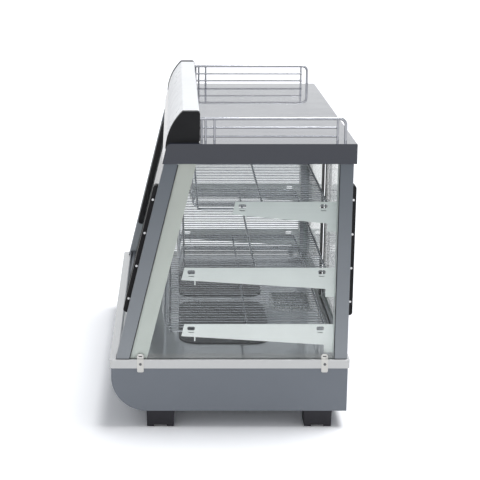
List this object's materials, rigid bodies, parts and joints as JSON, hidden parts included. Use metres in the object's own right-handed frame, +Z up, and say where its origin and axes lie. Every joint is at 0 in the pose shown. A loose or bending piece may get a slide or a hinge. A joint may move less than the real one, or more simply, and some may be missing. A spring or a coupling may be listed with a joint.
{
  "type": "heated display counter",
  "caption": "Countertop heated display cabinet with a leaning glass front, sliding glass doors, wire racks and a roof sign.",
  "frame": {"origin": "on the floor, under the middle of the whole counter", "axes": "+X along the counter, -Y towards the customer side with the leaning window, +Z up"},
  "size_m": [0.8648, 0.5117, 0.6725],
  "materials": {
    "grey_paint": "semi-gloss",
    "roof_paint": "gloss",
    "post_paint": "semi-gloss",
    "stainless": "satin",
    "deck_steel": "polished",
    "zinc_steel": "satin",
    "chrome_wire": "polished",
    "plate_black": "satin",
    "black_plastic": "satin",
    "rocker_plastic": "gloss",
    "white_plastic": "satin",
    "sheet_white": "satin",
    "lamp_cover": "satin",
    "track_metal": "satin",
    "pane_glass": "clear"
  },
  "bodies": {
    "cabinet": {"base_shell": "grey_paint", "base_end_left": "grey_paint", "base_end_right": "grey_paint", "base_rear_panel": "grey_paint", "trim_frame": "stainless", "deck_tray": "deck_steel", "heating_plates": "plate_black", "heating_elements": "zinc_steel", "heat_shields": "zinc_steel", "feet": "black_plastic", "control_pan": "black_plastic", "thermostat_body": "black_plastic", "power_switch_body": "black_plastic", "light_switch_body": "black_plastic", "cable_gland": "black_plastic", "terminal_block": "white_plastic", "front_post_left": "post_paint", "front_post_right": "post_paint", "rear_post_left": "post_paint", "rear_post_right": "post_paint", "inner_strips": "stainless", "rack_uprights": "stainless", "side_glass_left": "pane_glass", "side_glass_right": "pane_glass", "glass_clips": "zinc_steel", "clip_screws": "zinc_steel", "roof_shell": "roof_paint", "roof_liner": "sheet_white", "cabinet_lamp": "lamp_cover", "front_top_track": "track_metal", "front_bottom_track": "track_metal", "rear_top_track": "track_metal", "rear_bottom_track": "track_metal", "sign_housing": "sheet_white", "sign_panel": "white_plastic", "sign_caps": "black_plastic", "sign_lamp": "lamp_cover", "guard_rails": "chrome_wire", "shelf_brackets_left": "stainless", "shelf_brackets_right": "stainless"},
    "front_door_left": {"door_glass_front_left": "pane_glass", "door_handle_front_left": "black_plastic", "handle_screws_front_left": "chrome_wire"},
    "front_door_right": {"door_glass_front_right": "pane_glass", "door_handle_front_right": "black_plastic", "handle_screws_front_right": "chrome_wire"},
    "rear_door_left": {"door_glass_rear_left": "pane_glass", "door_handle_rear_left": "black_plastic", "handle_screws_rear_left": "chrome_wire"},
    "rear_door_right": {"door_glass_rear_right": "pane_glass", "door_handle_rear_right": "black_plastic", "handle_screws_rear_right": "chrome_wire"},
    "rack_bottom": {"rack_bottom": "chrome_wire"},
    "rack_middle": {"rack_middle": "chrome_wire"},
    "rack_top": {"rack_top": "chrome_wire"},
    "water_pan": {"water_pan": "zinc_steel"},
    "thermostat_knob": {"thermostat_knob": "black_plastic"},
    "power_rocker": {"power_rocker": "rocker_plastic"},
    "light_rocker": {"light_rocker": "rocker_plastic"}
  },
  "joints": [
    {"name": "front_door_left_slide", "type": "slide", "parent": "cabinet", "child": "front_door_left", "axis": [1, 0, 0], "range_m": [0, 0.357]},
    {"name": "front_door_right_slide", "type": "slide", "parent": "cabinet", "child": "front_door_right", "axis": [1, 0, 0], "range_m": [-0.357, 0]},
    {"name": "rear_door_left_slide", "type": "slide", "parent": "cabinet", "child": "rear_door_left", "axis": [1, 0, 0], "range_m": [0, 0.357]},
    {"name": "rear_door_right_slide", "type": "slide", "parent": "cabinet", "child": "rear_door_right", "axis": [1, 0, 0], "range_m": [-0.357, 0]},
    {"name": "rack_bottom_lift", "type": "slide", "parent": "cabinet", "child": "rack_bottom", "axis": [0, 0, 1], "range_m": [0, 0.022]},
    {"name": "rack_middle_lift", "type": "slide", "parent": "cabinet", "child": "rack_middle", "axis": [0, 0, 1], "range_m": [0, 0.022]},
    {"name": "rack_top_lift", "type": "slide", "parent": "cabinet", "child": "rack_top", "axis": [0, 0, 1], "range_m": [0, 0.022]},
    {"name": "water_pan_lift", "type": "slide", "parent": "cabinet", "child": "water_pan", "axis": [0, 0, 1], "range_m": [0, 0.025]},
    {"name": "thermostat_turn", "type": "hinge", "parent": "cabinet", "child": "thermostat_knob", "pos_m": [-0.192, 0.23605, 0.08475], "axis": [0, -1, 0], "range_deg": [0, 270]},
    {"name": "power_rocker_tip", "type": "hinge", "parent": "cabinet", "child": "power_rocker", "pos_m": [-0.262, 0.23515, 0.08475], "axis": [1, 0, 0], "range_deg": [-20, 0]},
    {"name": "light_rocker_tip", "type": "hinge", "parent": "cabinet", "child": "light_rocker", "pos_m": [-0.308, 0.23515, 0.08475], "axis": [1, 0, 0], "range_deg": [-20, 0]}
  ]
}
